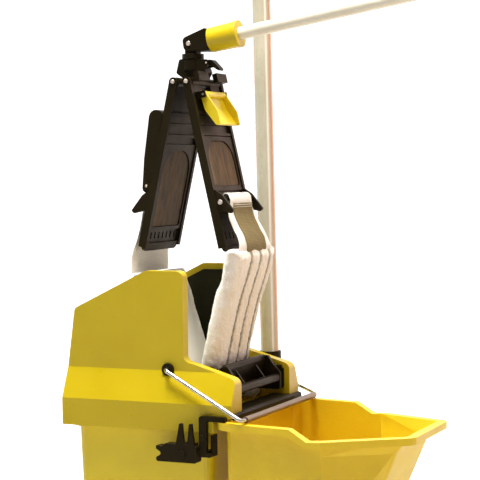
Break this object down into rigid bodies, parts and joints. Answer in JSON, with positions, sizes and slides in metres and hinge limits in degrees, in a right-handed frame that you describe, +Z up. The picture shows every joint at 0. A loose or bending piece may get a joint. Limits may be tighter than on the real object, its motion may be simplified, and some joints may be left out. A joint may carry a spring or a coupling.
{
  "type": "mop and bucket with wringer",
  "caption": "Two plastic buckets hooked together under a lever-operated press wringer, with a folding flat mop standing in it and a carrying bail resting on the pouring bucket's rim.",
  "frame": {"origin": "on the floor, under the middle of the rear bucket's underside", "axes": "+X towards the pouring lip, +Y towards the press lever, +Z up"},
  "size_m": [1.3452, 0.3271, 1.0482],
  "materials": {
    "yellow_plastic": "moulded, satin gloss",
    "orange_yellow_plastic": "moulded, fine grain",
    "lemon_plastic": "moulded, fine grain",
    "black_plastic": "moulded, satin",
    "brown_panel": "worn, dusty",
    "steel": "drawn wire and turned pins",
    "coated_tube": "cream coating, satin",
    "pad_fabric": "looped microfibre with grey stripes",
    "strap_fabric": "woven band"
  },
  "bodies": {
    "rear_bucket": {"rear_bucket": "lemon_plastic", "bucket_bracket_near": "black_plastic", "bucket_bracket_far": "black_plastic", "handle_clip": "black_plastic", "clip_screw": "steel", "bracket_screw_near": "steel", "bracket_screw_far": "steel"},
    "front_bucket": {"front_bucket": "orange_yellow_plastic"},
    "wringer": {"wringer_housing": "yellow_plastic", "liner_near": "black_plastic", "liner_far": "black_plastic", "rear_jaw": "black_plastic", "front_sill": "black_plastic", "bail_bush_near": "black_plastic", "bail_bush_far": "black_plastic", "shaft_bush_near": "black_plastic", "shaft_bush_far": "black_plastic", "guide_rail_near": "black_plastic", "guide_rail_far": "black_plastic"},
    "bail": {"bail_wire": "steel", "bail_grip": "black_plastic"},
    "lever": {"press_shaft": "steel", "lever_hub": "black_plastic", "lever_tube": "coated_tube", "lever_grip": "black_plastic", "lever_screw": "steel", "crank_arm_near": "steel", "crank_arm_far": "steel"},
    "jaw": {"jaw_carriage": "black_plastic", "press_plate": "black_plastic"},
    "mop_core": {"mop_core": "black_plastic", "wing_pin_left": "steel", "wing_pin_right": "steel", "latch_pin": "steel"},
    "neck_latch": {"neck_latch": "black_plastic"},
    "wing_left": {"wing_left": "black_plastic", "wing_panel_left": "brown_panel", "strap_bar_left": "black_plastic", "strap_left": "strap_fabric", "fin_rivet_left": "steel", "release_pin": "steel"},
    "wing_right": {"wing_right": "black_plastic", "wing_panel_right": "brown_panel", "strap_bar_right": "black_plastic", "strap_right": "strap_fabric", "fin_rivet_right": "steel", "pedal_pin": "steel"},
    "release_lever": {"release_lever": "black_plastic"},
    "foot_pedal": {"foot_pedal": "yellow_plastic"},
    "pad_left": {"pad_left": "pad_fabric"},
    "pad_right": {"pad_right": "pad_fabric"},
    "knuckle": {"swivel_yoke": "black_plastic", "knuckle_pin": "steel"},
    "handle": {"handle_fork": "black_plastic", "handle_collar": "yellow_plastic", "handle_tube": "coated_tube", "handle_grip": "black_plastic"}
  },
  "joints": [
    {"name": "front_bucket_slide", "type": "slide", "parent": "rear_bucket", "child": "front_bucket", "axis": [1, 0, 0], "range_m": [0, 0.2]},
    {"name": "wringer_lift", "type": "slide", "parent": "rear_bucket", "child": "wringer", "axis": [0, 0, 1], "range_m": [0, 0.2]},
    {"name": "bail_swing", "type": "hinge", "parent": "wringer", "child": "bail", "pos_m": [0.0385, 0, 0.347], "axis": [0, -1, 0], "range_deg": [0, 74]},
    {"name": "lever_swing", "type": "hinge", "parent": "wringer", "child": "lever", "pos_m": [0.082, 0, 0.288], "axis": [0, -1, 0], "range_deg": [0, 84]},
    {"name": "jaw_slide", "type": "slide", "parent": "wringer", "child": "jaw", "axis": [-1, 0, 0], "range_m": [0, 0.0435], "deforming": ["pad_left", "pad_right"]},
    {"name": "mop_lift", "type": "slide", "parent": "wringer", "child": "mop_core", "axis": [0, 0, 1], "range_m": [0, 0.45]},
    {"name": "wing_right_fold", "type": "hinge", "parent": "mop_core", "child": "wing_right", "pos_m": [0.0485, 0, 0.755], "axis": [0, -1, 0], "range_deg": [0, 77.3]},
    {"name": "wing_left_fold", "type": "hinge", "parent": "mop_core", "child": "wing_left", "pos_m": [0.0275, 0, 0.755], "axis": [0, 1, 0], "range_deg": [0, 77.3]},
    {"name": "pad_right_fold", "type": "hinge", "parent": "wing_right", "child": "pad_right", "pos_m": [0.1039, 0, 0.50916], "axis": [0, 1, 0], "range_deg": [0, 151]},
    {"name": "pad_left_fold", "type": "hinge", "parent": "wing_left", "child": "pad_left", "pos_m": [-0.0279, 0, 0.50916], "axis": [0, -1, 0], "range_deg": [0, 151]},
    {"name": "handle_swivel", "type": "hinge", "parent": "mop_core", "child": "knuckle", "pos_m": [0.033, 0, 0.79], "axis": [0, 0, 1], "range_deg": [-60, 60]},
    {"name": "handle_tilt", "type": "hinge", "parent": "knuckle", "child": "handle", "pos_m": [0.033, 0, 0.812], "axis": [0, -1, 0], "range_deg": [0, 150]},
    {"name": "foot_pedal_press", "type": "hinge", "parent": "wing_right", "child": "foot_pedal", "pos_m": [0.06571, 0, 0.73684], "axis": [0, 1, 0], "range_deg": [0, 8], "stiffness_Nm_per_rad": 0.3, "springref_deg": -8.59},
    {"name": "release_lever_press", "type": "hinge", "parent": "wing_left", "child": "release_lever", "pos_m": [-0.01997, 0, 0.60579], "axis": [0, 1, 0], "range_deg": [0, 2.2], "stiffness_Nm_per_rad": 1, "springref_deg": -11.46},
    {"name": "neck_latch_press", "type": "hinge", "parent": "mop_core", "child": "neck_latch", "pos_m": [0.059, 0, 0.7835], "axis": [0, 1, 0], "range_deg": [0, 6], "stiffness_Nm_per_rad": 0.1, "springref_deg": -5.73}
  ],
  "couplings": [
    {"joint": "jaw_slide", "follows": "lever_swing", "m_per_rad": 0.0292},
    {"joint": "wing_left_fold", "follows": "wing_right_fold", "ratio": 1},
    {"joint": "pad_right_fold", "follows": "wing_right_fold", "ratio": 1.952},
    {"joint": "pad_left_fold", "follows": "wing_right_fold", "ratio": 1.952}
  ]
}
